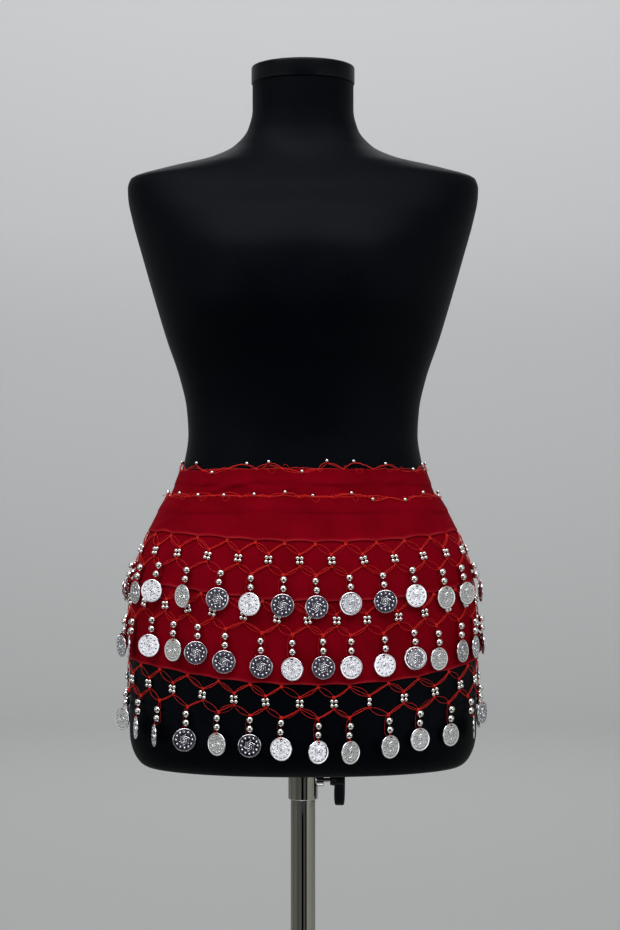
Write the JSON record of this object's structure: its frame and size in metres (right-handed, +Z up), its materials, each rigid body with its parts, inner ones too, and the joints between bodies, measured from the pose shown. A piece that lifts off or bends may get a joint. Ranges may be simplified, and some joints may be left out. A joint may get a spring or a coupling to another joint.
{
  "type": "belly dance belt on dress form stand",
  "caption": "Layered stretch hip belt with crocheted nets of beads and coins, worn on a limbless dress form with a clamped pole stand.",
  "frame": {"origin": "on the floor, at the centre of the base plate's underside, under the pole", "axes": "+Z up along the pole, -Y towards the wearer's front, +X towards the clamp lever"},
  "size_m": [0.3724, 0.31, 1.253],
  "materials": {
    "chrome": "polished",
    "lever_plastic": "moulded",
    "form_jersey": "fine black jersey over the form",
    "cap_gloss": "gloss",
    "belt_jersey": "red stretch jersey",
    "crochet_thread": "crocheted thread",
    "coin_nickel": "nickel-plated beads and coins on red thread"
  },
  "bodies": {
    "stand": {"stand_base": "chrome", "pole": "chrome"},
    "form": {"dress_form": "form_jersey", "neck_cap": "cap_gloss", "collar": "chrome", "belt_panel": "belt_jersey", "middle_layer": "belt_jersey", "top_layer": "belt_jersey", "edging_top": "crochet_thread", "edging_second": "crochet_thread", "coin_net_upper": "coin_nickel", "coin_net_middle": "coin_nickel", "coin_net_lower": "coin_nickel"},
    "lever": {"clamp_lever": "lever_plastic"}
  },
  "joints": [
    {"name": "height_slide", "type": "slide", "parent": "stand", "child": "form", "axis": [0, 0, 1], "range_m": [-0.1, 0.15]},
    {"name": "lever_turn", "type": "hinge", "parent": "form", "child": "lever", "pos_m": [0.03, 0, 0.54], "axis": [1, 0, 0], "range_deg": [-120, 120]}
  ]
}
